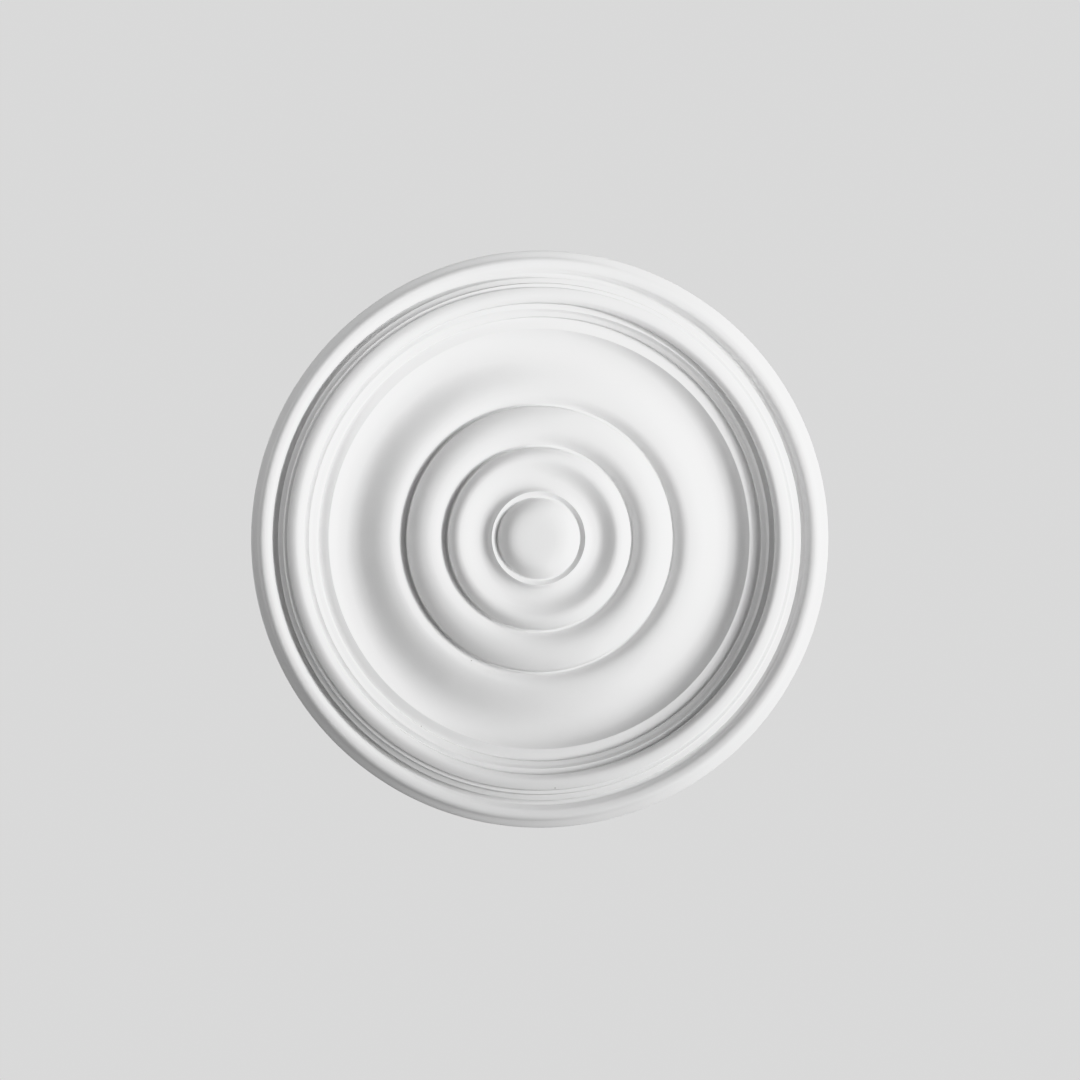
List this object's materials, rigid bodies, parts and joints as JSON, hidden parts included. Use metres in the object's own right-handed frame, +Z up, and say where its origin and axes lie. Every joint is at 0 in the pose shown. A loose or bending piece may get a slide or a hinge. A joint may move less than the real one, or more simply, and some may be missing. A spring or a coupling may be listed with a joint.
{
  "type": "ceiling rose",
  "caption": "Plain round plaster ceiling rose with a moulded rim, a wide dish, stepped rounded waves and a central boss, fixed flat to a ceiling above a pendant lamp.",
  "frame": {"origin": "centre of the flat back, where it meets the ceiling", "axes": "+Z up into the ceiling, along the axis of the rings; the moulded face hangs down towards -Z"},
  "size_m": [0.48, 0.48, 0.0361],
  "materials": {
    "painted_plaster": "matte"
  },
  "bodies": {
    "root": {"ceiling_rose": "painted_plaster"}
  },
  "joints": []
}
